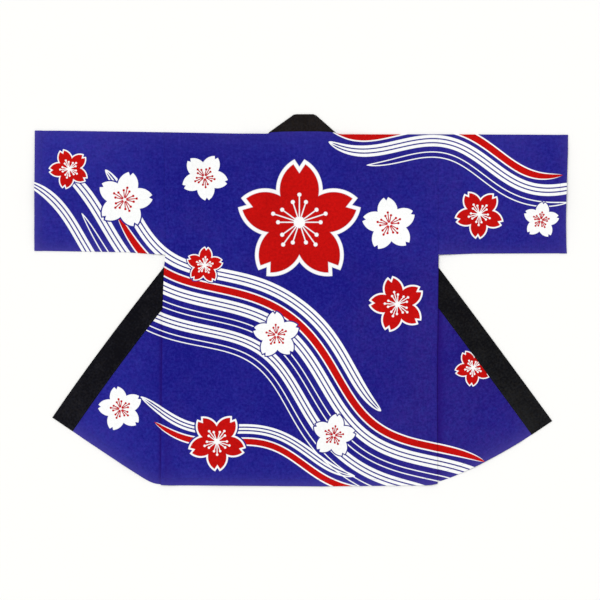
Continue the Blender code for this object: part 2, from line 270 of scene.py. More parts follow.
def direction(degrees):
    """Cosine and sine of an angle."""
    angle = np.radians(degrees)
    return float(np.cos(angle)), float(np.sin(angle))


def line_height(line, x):
    """Height of the shoulder line or the hem line at x."""
    _, across, ups = zip(*line)
    return np.interp(x, across, ups)


def seam_out(side, up):
    """Distance from the middle to the armhole and side seam, at a height."""
    _, ups, left, right = zip(*SIDE_SEAM)
    return np.interp(up, ups, left if side is LEFT else right)


def collar_frame(side):
    """Low end of the collar's free edge, the way up along it, the way across it and its length."""
    low = np.array(side.collar_low)
    chord = np.array(side.collar_high) - low
    length = np.hypot(*chord)
    along = chord / length
    across = np.array([-abs(along[1]), -abs(along[0])])
    return low, along, across, length


def edge_bow(side, distance, length):
    """How far the free edge bows out: share * (1 - share) ** lean, over the most it reaches."""
    share = np.clip(distance / length, 0.0, 1.0)
    peak = 1.0 / (1.0 + side.bow_lean)
    most = peak * (1.0 - peak) ** side.bow_lean
    return side.collar_bow * share * (1.0 - share) ** side.bow_lean / most


def collar_point(side, distance, inward):
    """(out, up) of a place on the band: distance up its free edge, then inward across it."""
    low, along, across, length = collar_frame(side)
    bowed = inward - edge_bow(side, distance, length)
    return low + np.multiply.outer(distance, along) + np.multiply.outer(bowed, across)


def inside_free_edge(side, out, up):
    """How far a place lies inside the collar's free edge, negative outside it."""
    low, along, across, length = collar_frame(side)
    distance = (out - low[0]) * along[0] + (up - low[1]) * along[1]
    inward = (out - low[0]) * across[0] + (up - low[1]) * across[1]
    return inward + edge_bow(side, distance, length)


def front_underside(side, out, up):
    """Underside of the second layer: over the collar, lower over the wing, on the floor beyond."""
    inward = inside_free_edge(side, out, up)
    lift = falls(-inward, COLLAR_SHOULDER, COLLAR_DRAPE)
    over_collar = falls(inward - COLLAR_WIDTH, WING_SHOULDER, WING_DRAPE)
    return lift * (LAYER + (COLLAR_WALL - WALL) * over_collar)


def body_up(x, row):
    """Height of a place on the body, from the shoulder line at row 0 to the hem line at row 1."""
    shoulder = line_height(SHOULDER_LINE, x) - FOLD_REACH
    return between(shoulder, line_height(HEM_LINE, x), row)


def row_at(x, up):
    """The body row that passes a given height at x."""
    return (body_up(x, 0.0) - up) / (body_up(x, 0.0) - body_up(x, 1.0))


def fold_out(side, row):
    """Distance from the middle to the inner edge of the part that isn't turned out."""
    apex_row = row_at(side.turn * side.fold_apex[0], side.fold_apex[1])
    return np.interp(row, [0.0, apex_row, 1.0], [side.fold_top, side.fold_apex[0], side.fold_low])


def wing_hem_up(side, out):
    """Height of the turned-out hem: the back's hem level, then a slant up to the collar's end."""
    corner = collar_point(side, END_SLANT, COLLAR_WIDTH)
    hem = line_height(HEM_LINE, side.turn * side.fold_low)
    share = (out - side.wing_join) / (corner[0] - side.wing_join)
    slant = between(hem, corner[1], share) - 4.0 * side.wing_bulge * share * (1.0 - share)
    return (hem + slant + np.sqrt((hem - slant) ** 2 + HEM_ROUNDING**2)) / 2


def spaced(length, cell, start=(0.0,), end=(0.0,)):
    """Distances from 0 to length: close together at each end as asked, and a cell apart between."""
    low = np.array(start)
    high = length - np.array(end)[::-1]
    count = max(int(round((high[0] - low[-1]) / cell)), 1)
    middle = np.linspace(low[-1], high[0], count + 1)[1:-1]
    return np.concatenate([low, middle, high])


def run_along(points):
    """Distance from a line's first point to each of its points."""
    steps = np.linalg.norm(np.diff(points, axis=0), axis=1)
    return np.concatenate([[0.0], np.cumsum(steps)])


def points_on(points, stations, at):
    """Points of a line that passes its points at given stations."""
    return np.stack([np.interp(at, stations, column) for column in points.T], axis=-1)


def rolling(x, up):
    """From 0 to 1: the sum of a few slow sine waves that run in different directions."""
    total = np.zeros(np.broadcast(x, up).shape)
    for heading, length, start, share in WAVES:
        cosine, sine = direction(heading)
        phase = 2.0 * np.pi * (x * cosine + up * sine) / length + start
        total = total + share * np.sin(phase)
    return 0.5 + 0.5 * total


def creased(piece, x, up):
    """Sum of the piece's ridges: a bell across each line, fading to nothing at both its ends."""
    total = np.zeros(np.broadcast(x, up).shape)
    for _, x1, up1, x2, up2, width, height in CREASES[piece]:
        run = np.array([x2 - x1, up2 - up1])
        length = np.hypot(*run)
        run /= length
        share = ((x - x1) * run[0] + (up - up1) * run[1]) / length
        fade = np.maximum(np.sin(np.pi * np.clip(share, 0.0, 1.0)), 0.0)
        away = (up - up1) * run[0] - (x - x1) * run[1] + CREASE_BEND * length * fade
        total = total + CREASE_SCALE * height * fade * bell(away, width)
    return total


def lying_loose(piece, x, up, height, loose, near):
    """(lift, shade): how high cloth lies off its level, and how much painted shade its troughs get.

    The lift is its slow waves times loose, and its creases times near, and never less than 0.
    """
    creases = creased(piece, x, up)
    lift = (height[0] + height[1] * rolling(x, up)) * loose + creases * near
    # The shade is painted shade: darker the deeper a trough runs.
    return np.maximum(lift, 0.0), 0.35 * np.clip(-creases / 0.001, 0.0, 1.0)


def hem_thickness(distance):
    """Cloth turned under along an edge: thicker for the hem's depth, rounded at the very edge."""
    turned = HEM_EXTRA * falls(distance, HEM_DEPTH, HEM_EDGE)
    return (SHEET + turned) * rounded_edge(distance, (SHEET + HEM_EXTRA) / 2)


def rounded_edge(distance, radius):
    """Share of the full thickness near an edge that is round in section."""
    t = np.clip(1.0 - distance / radius, 0.0, 1.0)
    return np.maximum(np.sqrt(1.0 - t * t), THINNEST_EDGE)


def seam_profile(distance):
    """Height of cloth beside a seam: a dip at the stitching, then the ridge of the allowance."""
    dip = -SEAM_DIP * np.clip(1.0 - distance / SEAM_DIP_WIDTH, 0.0, 1.0) ** 2
    ridge = ALLOWANCE_LIFT * rises(distance - ALLOWANCE_START, ALLOWANCE_RISE)
    return dip + ridge * falls(distance, ALLOWANCE, ALLOWANCE_FALL)


def placed(name, data):
    """A new object of the scene."""
    made = bpy.data.objects.new(name, data)
    bpy.context.scene.collection.objects.link(made)
    return made


def finished(name, points, faces, finish, values=None, uv=None, sharp=50.0):
    """A mesh object of the coat, riding on the root body, with its finish and its point values."""
    mesh = bpy.data.meshes.new(name)
    mesh.from_pydata(points.tolist(), [], faces.tolist())
    for key, value in (values or {}).items():
        layer = mesh.attributes.new(key, "FLOAT", "POINT")
        layer.data.foreach_set("value", np.asarray(value, np.float32))
    if uv is not None:
        corner = np.empty(len(mesh.loops), np.int32)
        mesh.loops.foreach_get("vertex_index", corner)
        layer = mesh.uv_layers.new(name="cloth")
        layer.data.foreach_set("uv", np.asarray(uv, np.float32)[corner].ravel())
    mesh.materials.append(finish)
    mesh.shade_smooth()
    mesh.set_sharp_from_angle(angle=np.radians(sharp))
    made = placed(name, mesh)
    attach(made, "root")
    return made


def cloth(name, middle, normal, thickness, uv, finish, marks=None, face_up=1.0, present=None,
          around=False):
    """A thin wall on a grid of middle points, half its thickness to each side, closed at its edges.

    face_up is the way, along the normal, that the printed face looks. marks holds other values for
    the finish, one for each grid place.
    """
    rows, columns = middle.shape[:2]
    index = np.arange(rows * columns).reshape(rows, columns)
    right = np.roll(index, -1, axis=1)
    if not around:
        index = index[:, :-1]
        right = right[:, :-1]
    if present is None:
        present = np.ones((rows - 1, index.shape[1]), bool)
    outer = np.stack([index[:-1], right[:-1], right[1:], index[1:]], axis=-1)[present]
    flat = middle.reshape(-1, 3)
    flat_normal = normal.reshape(-1, 3)
    facing = np.cross(flat[outer[:, 2]] - flat[outer[:, 0]], flat[outer[:, 3]] - flat[outer[:, 1]])
    if np.einsum("ij,ij->i", facing, flat_normal[outer[:, 0]]).sum() < 0.0:
        outer = outer[:, ::-1]
    count = rows * columns
    ways = np.concatenate([outer[:, [k, (k + 1) % 4]] for k in range(4)])
    codes = ways[:, 0] * count + ways[:, 1]
    rim = ways[~np.isin(codes, ways[:, 1] * count + ways[:, 0])]
    p, q = rim.T
    edge = np.stack([q, p, p + count, q + count], axis=1)
    faces = np.concatenate([outer, outer[:, ::-1] + count, edge])
    half = np.broadcast_to(thickness, (rows, columns)).reshape(-1, 1) / 2
    points = np.concatenate([flat + flat_normal * half, flat - flat_normal * half])
    points[:, 2] = np.maximum(points[:, 2], FLOOR_CLEAR)
    outside = np.repeat([1.0, 0.0] if face_up > 0 else [0.0, 1.0], count)
    used, faces = np.unique(faces, return_inverse=True)
    faces = faces.reshape(-1, 4)
    uv = np.concatenate([uv.reshape(-1, 2)] * 2)[used]
    values = {"outside": outside[used]}
    for key, mark in (marks or {}).items():
        mark = np.broadcast_to(mark, (rows, columns)).reshape(-1)
        values[key] = np.concatenate([mark] * 2)[used]
    return finished(name, points[used], faces, finish, values, uv)


def points_at(side, out, up, height):
    """World points of one side's places."""
    return np.stack(np.broadcast_arrays(side.turn * out, up, height), axis=-1)


def upright(shape):
    """Normals that point straight up, one for each grid place."""
    normal = np.zeros(shape + (3,))
    normal[..., 2] = 1.0
    return normal


def body_rows():
    """Rows of the body's grids, as shares of the way from shoulder to hem."""
    length = body_up(0.2, 0.0) - body_up(0.2, 1.0)
    return spaced(length, CELL, EDGE_STEPS, HEM_STEPS) / length


def neck_underside(up):
    """Underside of the back between the folds: over the collar at the neck, then on the floor."""
    return (COLLAR_WALL + GAP) * falls(NECK_SUPPORT_UP - up, 0.0, NECK_DRAPE)


def back_underside(x, row):
    """Underside of the back: on the second layer, and down to the floor inside the folds."""
    height = np.zeros(np.broadcast(x, row).shape)
    for side in (LEFT, RIGHT):
        out = side.turn * x
        fold = fold_out(side, row)
        reach = np.maximum(out, fold)
        low = front_underside(side, reach, body_up(side.turn * reach, row)) + LAYER
        rest = neck_underside(body_up(x, row))
        drop = rest + (low - rest) * falls(fold - out, FOLD_SHOULDER, FOLD_DRAPE)
        height = np.where(side.turn * x >= 0.0, drop, height)
    return height


def stitched_place(distance):
    """The grid line nearest a hem's stitches, from every line's distance to the hem's edge."""
    return int(np.argmin(np.abs(distance - HEM_DEPTH + HEM_STITCH_INSET)))


def allowance_shade(beside, hem):
    """Painted shade over the seam's allowance, and softly beyond it, near the hem."""
    edge = 0.16 * bell(beside - ALLOWANCE, 0.004)
    beyond = 0.3 * bell(beside - 0.018, 0.013)
    return (edge + beyond) * falls(hem, 0.09, 0.07)


def edge_paleness(distance, most, reach):
    """How much paler the cloth has gone near an edge that wears."""
    return most * np.exp(-np.maximum(distance, 0.0) / reach)


def below_underarm(up):
    """1 along the side seam and 0 along the armhole."""
    return falls(up - 0.098, 0.0, 0.016)


def make_back(finish):
    """The back panel: a grid from seam to seam, with its shoulders folded over the fronts."""
    rows = body_rows()
    width = seam_out(LEFT, 0.0) + seam_out(RIGHT, 0.0)
    share = spaced(width, CELL, SEAM_STEPS, SEAM_STEPS) / width
    edge_up = between(BACK_TOP, BACK_HEM, rows)[:, None]
    left = SEAM_GAP - seam_out(LEFT, edge_up)
    right = seam_out(RIGHT, edge_up) - SEAM_GAP
    x = between(left, right, share)
    row = rows[:, None]
    up = body_up(x, row)
    beside = np.minimum(x - left, right - x)
    top = body_up(x, 0.0) - up
    hem = up - body_up(x, 1.0)

    loose = rises(beside - 0.004, 0.06) * rises(top - 0.002, 0.05)
    near = rises(beside, 0.025) * rises(top, 0.03)
    lift, shade = lying_loose("back", x, up, BODY_LOOSE, loose, near)
    height = back_underside(x, row) + WALL / 2 + (lift + seam_profile(beside))
    middle = np.stack([x, up, height], axis=-1)
    thickness = hem_thickness(hem)

    # Half round the shoulder's fold, from under the fronts up to the top, and flat at the neck
    curled = (x[0] < -fold_out(LEFT, 0.0)) | (x[0] > fold_out(RIGHT, 0.0))
    radius = LAYER / 2
    turn = np.radians(np.linspace(180.0, 0.0, FOLD_STEPS + 1)[:-1])[:, None]
    edge = np.broadcast_to(middle[0], turn.shape[:1] + middle[0].shape).copy()
    edge[..., 1] += radius * np.where(curled, np.sin(turn), turn)
    edge[..., 2] -= radius * np.where(curled, 1.0 - np.cos(turn), 0.0)
    edge_normal = np.zeros(edge.shape)
    edge_normal[..., 1] = np.where(curled, np.sin(turn), 0.0)
    edge_normal[..., 2] = np.where(curled, np.cos(turn), 1.0)

    folded = edge.shape[:2]
    middle = np.concatenate([edge, middle])
    normal = np.concatenate([edge_normal, upright(x.shape)])
    thickness = np.concatenate([np.broadcast_to(thickness[0], folded), thickness])
    uv_x = np.concatenate([np.repeat(x[:1], FOLD_STEPS, axis=0), x])
    uv = np.stack([uv_x, np.concatenate([up[:1] + radius * turn, up])], axis=-1)
    # Painted shade along the side seams, fainter along the armholes
    shade += bell(beside, SEAM_SHADE_WIDTH) * between(0.05, 0.45, below_underarm(up))
    # Painted shade over the allowance near the hem, stronger on the left
    shade += allowance_shade(beside, hem) * between(0.35, 1.0, x < 0.0)
    pale = edge_paleness(hem, 0.95, 0.015) + edge_paleness(top, 0.32, 0.035)
    marks = {
        "shade": np.concatenate([np.zeros(folded), shade]),
        "pale": np.concatenate([np.broadcast_to(pale[:1], folded), pale]),
    }
    made = cloth("back_cloth", middle, normal, thickness, uv, finish, marks)
    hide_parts("back")
    stitched = FOLD_STEPS + stitched_place(hem[:, 10])
    line = middle[stitched] + normal[stitched] * thickness[stitched][:, None] / 2
    return made, line


def fold_bend(side, fold, lift):
    """Points and normals half round the fold: from the second layer down to the wing's layer."""
    run = fold[-1] - fold[0]
    run /= np.hypot(*run)
    beyond = np.array([-abs(run[1]), -abs(run[0])])
    angle = np.radians(np.linspace(90.0, -90.0, FOLD_STEPS + 1))[1:]
    radius = lift[:, None] / 2
    bend = fold[:, None, :] + beyond * (radius * np.cos(angle))[..., None]
    height = WALL / 2 + radius * (1.0 + np.sin(angle))
    points = points_at(side, bend[..., 0], bend[..., 1], height)
    normal = np.zeros(points.shape)
    normal[..., 0] = side.turn * beyond[0] * np.cos(angle)
    normal[..., 1] = beyond[1] * np.cos(angle)
    normal[..., 2] = np.sin(angle)
    return points, normal


def make_front(side, finish):
    """One front: flat under the back, turned out along the slanting fold, then on the floor."""
    rows = body_rows()
    seam = seam_out(side, body_up(side.turn * side.underarm[0], rows)) - SEAM_GAP
    share = spaced(HIDDEN_REACH, HIDDEN_CELL, SEAM_STEPS, (0.0, 0.003)) / HIDDEN_REACH
    out = between(seam[:, None], fold_out(side, rows)[:, None], share)
    up = body_up(side.turn * out, rows[:, None])
    low = front_underside(side, out, up)
    beside = seam[:, None] - out
    rise = -seam_profile(beside) * (beside < SEAM_DIP_WIDTH) * below_underarm(up)
    flat = points_at(side, out, up, low + WALL / 2 + rise)
    flat[0, :, 1] -= GAP
    flat_thickness = hem_thickness(up - body_up(side.turn * out, 1.0))

    fold = np.stack([out[:, -1], up[:, -1]], axis=-1)
    clear = inside_free_edge(side, out[:, -1], up[:, -1]) - COLLAR_WIDTH
    first = int(np.argmax(clear > WING_START))
    along = np.clip((rows - rows[first]) / (1.0 - rows[first]), 0.0, 1.0)
    start = (fold[first] - side.collar_low) @ collar_frame(side)[1]
    seam_line = collar_point(side, between(start, END_SLANT, along), COLLAR_WIDTH + SEAM_GAP)
    bend, bend_normal = fold_bend(side, fold, low[:, -1])

    across = spaced(WING_REACH, CELL, FOLD_EDGE_STEPS, SEAM_STEPS)[1:] / WING_REACH
    wing = between(fold[:, None, :], seam_line[:, None, :], across[None, :, None])
    drop = wing_hem_up(side, wing[-1, :, 0]) - wing[-1, :, 1]
    wing[..., 1] += along[:, None] ** 2 * (drop - drop[-1] * across)
    wing_out, wing_up = wing[..., 0], wing[..., 1]
    x = side.turn * wing_out
    hem = np.maximum(wing_up - wing_up[-1:], 0.0)
    to_collar = inside_free_edge(side, wing_out, wing_up) - COLLAR_WIDTH
    shown = wing_out - seam_out(side, wing_up)
    loose = rises(to_collar - 0.002, 0.04) * rises(shown - 0.004, 0.04)
    near = rises(to_collar, 0.008) * rises(shown - 0.001, 0.012)
    lift, trough_shade = lying_loose("wing_" + side.name, x, wing_up, WING_LOOSE, loose, near)
    wing_points = points_at(side, wing_out, wing_up, WALL / 2 + lift)
    wing_thickness = hem_thickness(hem)

    middle = np.concatenate([flat, bend, wing_points], axis=1)
    normals = [upright(flat.shape[:2]), bend_normal, -upright(wing.shape[:2])]
    normal = np.concatenate(normals, axis=1)
    bend_thickness = np.repeat(flat_thickness[:, -1:], FOLD_STEPS, axis=1)
    thickness = np.concatenate([flat_thickness, bend_thickness, wing_thickness], axis=1)
    present = np.ones((rows.size - 1, middle.shape[1] - 1), bool)
    present[:first, out.shape[1] - 1 :] = False

    # The print runs on over the fold, so the turned-out part takes its place mirrored in the fold
    run = fold[-1] - fold[first]
    run /= np.hypot(*run)
    plan = np.stack([side.turn * middle[..., 0], middle[..., 1]], axis=-1)
    away = plan - fold[-1]
    mirrored = fold[-1] + 2.0 * (away @ run)[..., None] * run - away
    uv = np.where((np.arange(middle.shape[1]) >= out.shape[1])[None, :, None], mirrored, plan)
    beside_body = np.maximum(plan[..., 0] - seam_out(side, plan[..., 1]), 0.0)
    # Painted shade on the wing beside the body and in its troughs; paler, worn cloth along its hem
    marks = {
        "shade": side.edge_shade * bell(beside_body, side.edge_reach),
        "pale": np.zeros(middle.shape[:2]),
    }
    marks["shade"][:, -hem.shape[1] :] += trough_shade
    marks["pale"][:, -hem.shape[1] :] = edge_paleness(hem, 0.95, 0.015)
    name = "front_" + side.name
    made = cloth(
        name + "_cloth", middle, normal, thickness, uv, finish, marks, -1.0, present
    )
    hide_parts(name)
    stitched = stitched_place(hem[:, -20])
    line = wing_points[stitched].copy()
    line[:, 2] += wing_thickness[stitched] / 2
    return made, line[shown[stitched] > -0.001]


def make_sleeve(side, finish):
    """A flat tube: two layers, folded along the top and seamed along the bottom."""
    stations = spaced(SLEEVE_REACH, CELL, SEAM_STEPS, HEM_STEPS)
    shares = stations / SLEEVE_REACH
    drop = spaced(SLEEVE_DEPTH, CELL, FOLD_EDGE_STEPS, FOLD_EDGE_STEPS) / SLEEVE_DEPTH
    step = np.radians(np.linspace(0.0, 180.0, FOLD_STEPS + 1)[1:-1])
    flat = np.zeros(drop.size)
    # Round the section: down the upper layer, round the seam, up the lower layer, round the fold
    down = np.concatenate([drop, np.ones(step.size), drop[::-1], np.zeros(step.size)])
    push = np.concatenate([flat, -np.sin(step), flat, np.sin(step)])
    level = np.concatenate([flat + 1.0, np.cos(step), flat - 1.0, -np.cos(step)])

    guess_out = between(side.underarm[0], side.cuff_bottom[0], shares)
    top = line_height(SHOULDER_LINE, side.turn * guess_out)
    stops = (side.underarm, side.sleeve_middle, side.cuff_bottom)
    bottom = np.interp(guess_out, [p[0] for p in stops], [p[1] for p in stops])
    top_fold = (top - FOLD_REACH)[:, None]
    bottom_seam = (bottom + FOLD_REACH)[:, None]
    up = between(top_fold, bottom_seam, down[None, :])

    armhole = seam_out(side, up) + SEAM_GAP
    cuff_share = (up - side.cuff_bottom[1]) / (side.cuff_top[1] - side.cuff_bottom[1])
    cuff = between(side.cuff_bottom[0], side.cuff_top[0], cuff_share)
    cuff = cuff - 6.75 * side.cuff_bow * cuff_share * (1.0 - cuff_share) ** 2
    out = between(armhole, cuff, shares[:, None])
    x = side.turn * out
    upper = np.clip(level, 0.0, 1.0)
    inset = np.minimum(top_fold - up, up - bottom_seam)
    loose = upper * rises(inset, 0.045) * rises(out - armhole - 0.004, 0.05)
    near = upper * rises(inset, 0.02) * rises(out - armhole, 0.02)
    name = "sleeve_" + side.name
    lift, shade = lying_loose(name, x, up, BODY_LOOSE, loose, near)
    lift += np.where(level > 0.99, seam_profile(out - armhole), 0.0)
    radius = LAYER / 2
    height = front_underside(side, out, up) + WALL / 2 + radius * (1.0 + level) + lift
    middle = points_at(side, out, up + radius * push, height)
    normal = np.zeros(middle.shape)
    normal[..., 1] = push
    normal[..., 2] = level
    thickness = hem_thickness(cuff - out)
    uv = np.stack([x, up], axis=-1)
    worn = (
        edge_paleness(cuff - out, 0.8, 0.012)
        + edge_paleness(up - bottom_seam, 0.75, 0.016)
        + edge_paleness(top_fold - up, 0.32, 0.025)
    )
    # Painted shade along the armhole seam and in the troughs, on the upper layer only
    shade = (0.05 * bell(out - armhole, SEAM_SHADE_WIDTH) + shade) * upper
    marks = {"shade": shade, "pale": worn * side.wear}
    made = cloth(
        name + "_cloth", middle, normal, thickness, uv, finish, marks, around=True
    )
    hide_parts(name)
    stitched = stitched_place(SLEEVE_REACH - stations)
    line = middle[stitched, : drop.size].copy()
    line[:, 2] += thickness[stitched, : drop.size] / 2
    return made, line


def collar_edges():
    """(free edge, seam edge) of the whole band, from the left end round the neck to the right."""
    free_runs = []
    seam_runs = []
    for side in (LEFT, RIGHT):
        end = collar_frame(side)[3] - NECK_JOINT
        share = spaced(end, CELL, EDGE_STEPS) / end
        turn = np.array([side.turn, 1.0])
        free_runs.append(collar_point(side, end * share, np.zeros(share.size)) * turn)
        distance = between(END_SLANT, end, share)
        seam_runs.append(collar_point(side, distance, np.full(share.size, COLLAR_WIDTH)) * turn)
    places = np.array([station[1:] for station in NECK_STATIONS])
    stations = np.arange(len(places))
    fine = np.linspace(0.0, stations[-1], 10 * stations[-1] + 1)
    neck = points_on(places, stations, fine)
    free = neck[:, :2]
    lean = np.radians(neck[:, 2])
    seam = free + COLLAR_WIDTH * np.stack([np.sin(lean), -np.cos(lean)], axis=-1)
    return (
        np.concatenate([free_runs[0], free, free_runs[1][::-1]]),
        np.concatenate([seam_runs[0], seam, seam_runs[1][::-1]]),
    )


def make_collar(finish):
    """The collar band: a long flat fold, round along its free edge and full between its edges."""
    free, seam = collar_edges()
    step = spaced(COLLAR_WIDTH, CELL, EDGE_STEPS, EDGE_STEPS)
    plan = between(free[:, None, :], seam[:, None, :], (step / COLLAR_WIDTH)[None, :, None])
    run = run_along(free)
    to_end = np.minimum(run, run[-1] - run)[:, None]
    to_edge = np.minimum(step, COLLAR_WIDTH - step)[None, :]
    shown = rises(np.abs(plan[..., 0]) - COLLAR_SHOWS, 0.06)
    crown = (0.0002 + 0.0006 * shown) * rises(to_edge, 0.016) * rises(to_end, 0.02)
    waves = rolling(3.0 * plan[..., 0], 2.0 * plan[..., 1]) - 0.3
    full = crown + 0.0003 * shown * rises(to_edge, 0.012) * waves
    radius = COLLAR_WALL / 2
    thickness = COLLAR_WALL * rounded_edge(np.minimum(to_edge, to_end), radius) + full
    middle = np.concatenate([plan, (radius + full / 2)[..., None]], axis=2)
    uv = np.stack(np.broadcast_arrays(step[None, :], run[:, None]), axis=-1)
    normal = upright(plan.shape[:2])
    made = cloth("collar_band", middle, normal, thickness, uv, finish)
    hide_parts("collar_left", "collar_neck", "collar_right")
    column = int(np.argmin(np.abs(COLLAR_WIDTH - step - COLLAR_STITCH_INSET)))
    line = middle[:, column].copy()
    line[:, 2] += thickness[:, column] / 2
    line[:, :2] = free + (seam - free) * (1.0 - COLLAR_STITCH_INSET / COLLAR_WIDTH)
    return made, line


def make_stitches(name, lines, finish):
    """Rows of stitches: each a short thread, round in section, with its ends sunk in the cloth."""
    share = np.array([-0.5, -0.4, 0.0, 0.4, 0.5])
    fat = np.array([0.35, 0.85, 1.0, 0.85, 0.35])
    sink = np.array([-0.9, -0.2, 0.0, -0.2, -0.9])
    angle = np.radians(np.arange(0.0, 360.0, 60.0))
    ring = fat[:, None] * THREAD_RADIUS
    aside = ring * np.cos(angle)
    high = ring * np.sin(angle) + (sink * THREAD_RADIUS)[:, None]
    ahead = (share * STITCH_LENGTH)[:, None] * np.ones(angle.size)
    all_points = []
    for line in lines:
        run = run_along(line)
        centre = np.arange(STITCH_PITCH, run[-1] - STITCH_PITCH, STITCH_PITCH)
        at = points_on(line, run, centre)
        along = points_on(line, run, centre + 0.001) - at
        along /= np.linalg.norm(along, axis=1)[:, None]
        side = np.cross(along, [0.0, 0.0, 1.0])
        side /= np.linalg.norm(side, axis=1)[:, None]
        points = at[:, None, None, :]
        for offset, way in ((ahead, along), (aside, side), (high, np.cross(side, along))):
            points = points + offset[None, ..., None] * way[:, None, None, :]
        all_points.append(points)
    points = np.concatenate(all_points)
    rings, around = share.size, angle.size
    one = np.arange(rings * around).reshape(rings, around)
    nxt = np.roll(one, -1, axis=1)
    quads = np.stack([one[:-1], nxt[:-1], nxt[1:], one[1:]], axis=-1).reshape(-1, 4)
    caps = np.array([[0, 5, 4, 1], [1, 4, 3, 2]])
    far = caps[:, ::-1] + (rings - 1) * around
    quads = np.concatenate([quads[:, ::-1], caps[:, ::-1], far[:, ::-1]])
    base = np.arange(points.shape[0]) * rings * around
    faces = (quads[None, :, :] + base[:, None, None]).reshape(-1, 4)
    return finished(name, points.reshape(-1, 3), faces, finish, sharp=180.0)


def maths(operation, *values, clamp=False):
    """A Math node."""
    settings = {"operation": operation, "use_clamp": clamp}
    return recipe_of(values).node("ShaderNodeMath", settings, dict(enumerate(values)))


def operator(operation, reflected=False):
    """An operator that adds a Math node, with its two values swapped in its reflected form."""

    def method(*values):
        return maths(operation, *(values[::-1] if reflected else values))

    return method


class Value:
    """A number, colour or place in a finish, carried by the socket that gives it."""

    def __init__(self, recipe, socket):
        self.recipe = recipe
        self.socket = socket

    __add__ = operator("ADD")
    __radd__ = operator("ADD", reflected=True)
    __sub__ = operator("SUBTRACT")
    __rsub__ = operator("SUBTRACT", reflected=True)
    __mul__ = operator("MULTIPLY")
    __rmul__ = operator("MULTIPLY", reflected=True)
    __truediv__ = operator("DIVIDE")
    __rtruediv__ = operator("DIVIDE", reflected=True)
    __pow__ = operator("POWER")
    __abs__ = operator("ABSOLUTE")


def recipe_of(values):
    """The recipe of the values among them that nodes work out."""
    return next(value.recipe for value in values if isinstance(value, Value))


def socket_of(sockets, key):
    """The socket with an identifier, or else with a name or at a place."""
    found = [socket for socket in sockets if socket.identifier == key]
    return found[0] if found else sockets[key]


class Recipe:
    """The nodes of a finish, or of the light all round, which end in one shader."""

    def __init__(self, owner, shader="ShaderNodeBsdfPrincipled", end="ShaderNodeOutputMaterial"):
        owner.use_nodes = True
        self.owner = owner
        self.tree = owner.node_tree
        self.tree.nodes.clear()
        self.shader = self.node(shader, {}, {}, None)
        self.node(end, {}, {"Surface": Value(self, self.shader.outputs[0])}, None)

    def put(self, socket, value):
        """Link a Value to a socket, or set a plain value on it."""
        if isinstance(value, Value):
            self.tree.links.new(value.socket, socket)
        else:
            socket.default_value = (*value, 1.0) if socket.type == "RGBA" else value

    def node(self, kind, settings, inputs, result=0):
        """The output called result of a new node, or the node itself where result is None.

        Its settings come first, then its inputs, by socket identifier, name or place.
        """
        made = self.tree.nodes.new(kind)
        for key, setting in settings.items():
            setattr(made, key, setting)
        for key, value in inputs.items():
            self.put(socket_of(made.inputs, key), value)
        return made if result is None else Value(self, socket_of(made.outputs, result))

    def attribute(self, name):
        """A value that the mesh carries at its points, from 0 to 1."""
        return clamped(self.node("ShaderNodeAttribute", {"attribute_name": name}, {}, "Fac"))

    def object_place(self):
        """The place in the object's own metres."""
        return self.node("ShaderNodeTexCoord", {}, {}, "Object")

    def cloth_place(self):
        """The place on the flat cloth, in metres along its threads."""
        return self.node("ShaderNodeUVMap", {"uv_map": "cloth"}, {}, "UV")

    def shade(self, inputs):
        """Put values on the shader, and give what the recipe is for."""
        for key, value in inputs.items():
            self.put(self.shader.inputs[key], value)
        return self.owner

    def cotton(self, colour, roughness, relief, sheen):
        """Cotton: matt, with a little sheen and the relief of its threads."""
        heights = {"Strength": 0.35, "Distance": 0.0004, "Height": relief}
        return self.shade({
            "Base Color": colour,
            "Roughness": roughness,
            "Normal": self.node("ShaderNodeBump", {}, heights, "Normal"),
            "Sheen Weight": sheen,
            "Sheen Roughness": 0.5,
            "Specular IOR Level": 0.08,
        })


def least(a, b):
    """The smaller of two values."""
    return maths("MINIMUM", a, b)


def most(a, b):
    """The greater of two values."""
    return maths("MAXIMUM", a, b)


def clamped(value):
    """A value kept from 0 to 1."""
    return maths("ADD", value, 0.0, clamp=True)


def ramp(value, start, end):
    """0 up to start, then evenly up to 1 at end; end may be the lower of the two."""
    return clamped((value - start) / (end - start))


def stirred(value, *swings):
    """A value with noises added, each about its middle and times an amount, kept from 0 to 1."""
    for noisy, amount in swings:
        value = value + (noisy - 0.5) * amount
    return clamped(value)


def vector(operation, *values, result=0):
    """A Vector Math node."""
    settings = {"operation": operation}
    inputs = dict(enumerate(values))
    return recipe_of(values).node("ShaderNodeVectorMath", settings, inputs, result)


def mixed(factor, a, b, kind="Color"):
    """A colour between two colours, or a vector between two vectors."""
    settings = {"data_type": {"Color": "RGBA", "Vector": "VECTOR"}[kind]}
    inputs = {"Factor_Float": factor, "A_" + kind: a, "B_" + kind: b}
    return recipe_of((factor, a, b)).node("ShaderNodeMix", settings, inputs, "Result_" + kind)


def noise(place, scale, detail, roughness):
    """Noise from 0 to 1."""
    inputs = {"Vector": place, "Scale": scale, "Detail": detail, "Roughness": roughness}
    return place.recipe.node("ShaderNodeTexNoise", {}, inputs, "Fac")


def mapped(place, kind, **inputs):
    """A place moved, turned and scaled."""
    settings = {"vector_type": kind}
    return place.recipe.node("ShaderNodeMapping", settings, {"Vector": place, **inputs})


def parts(place):
    """The three numbers of a vector."""
    made = place.recipe.node("ShaderNodeSeparateXYZ", {}, {0: place}, None)
    return [Value(place.recipe, socket) for socket in made.outputs]


def printed(distance, edge=0.0005):
    """1 where a distance is negative and 0 where it is positive, with a soft printed edge."""
    return maths("SUBTRACT", 0.5, distance / edge, clamp=True)


def weave(place, pitch):
    """Height of a plain weave, from 0 to 1: warp and weft threads that pass over each other."""
    u, v, _ = parts(place)
    over = maths("SINE", u * (np.pi / pitch)) * maths("SINE", v * (np.pi / pitch)) * 0.5 + 0.5
    return clamped(over) ** 0.7


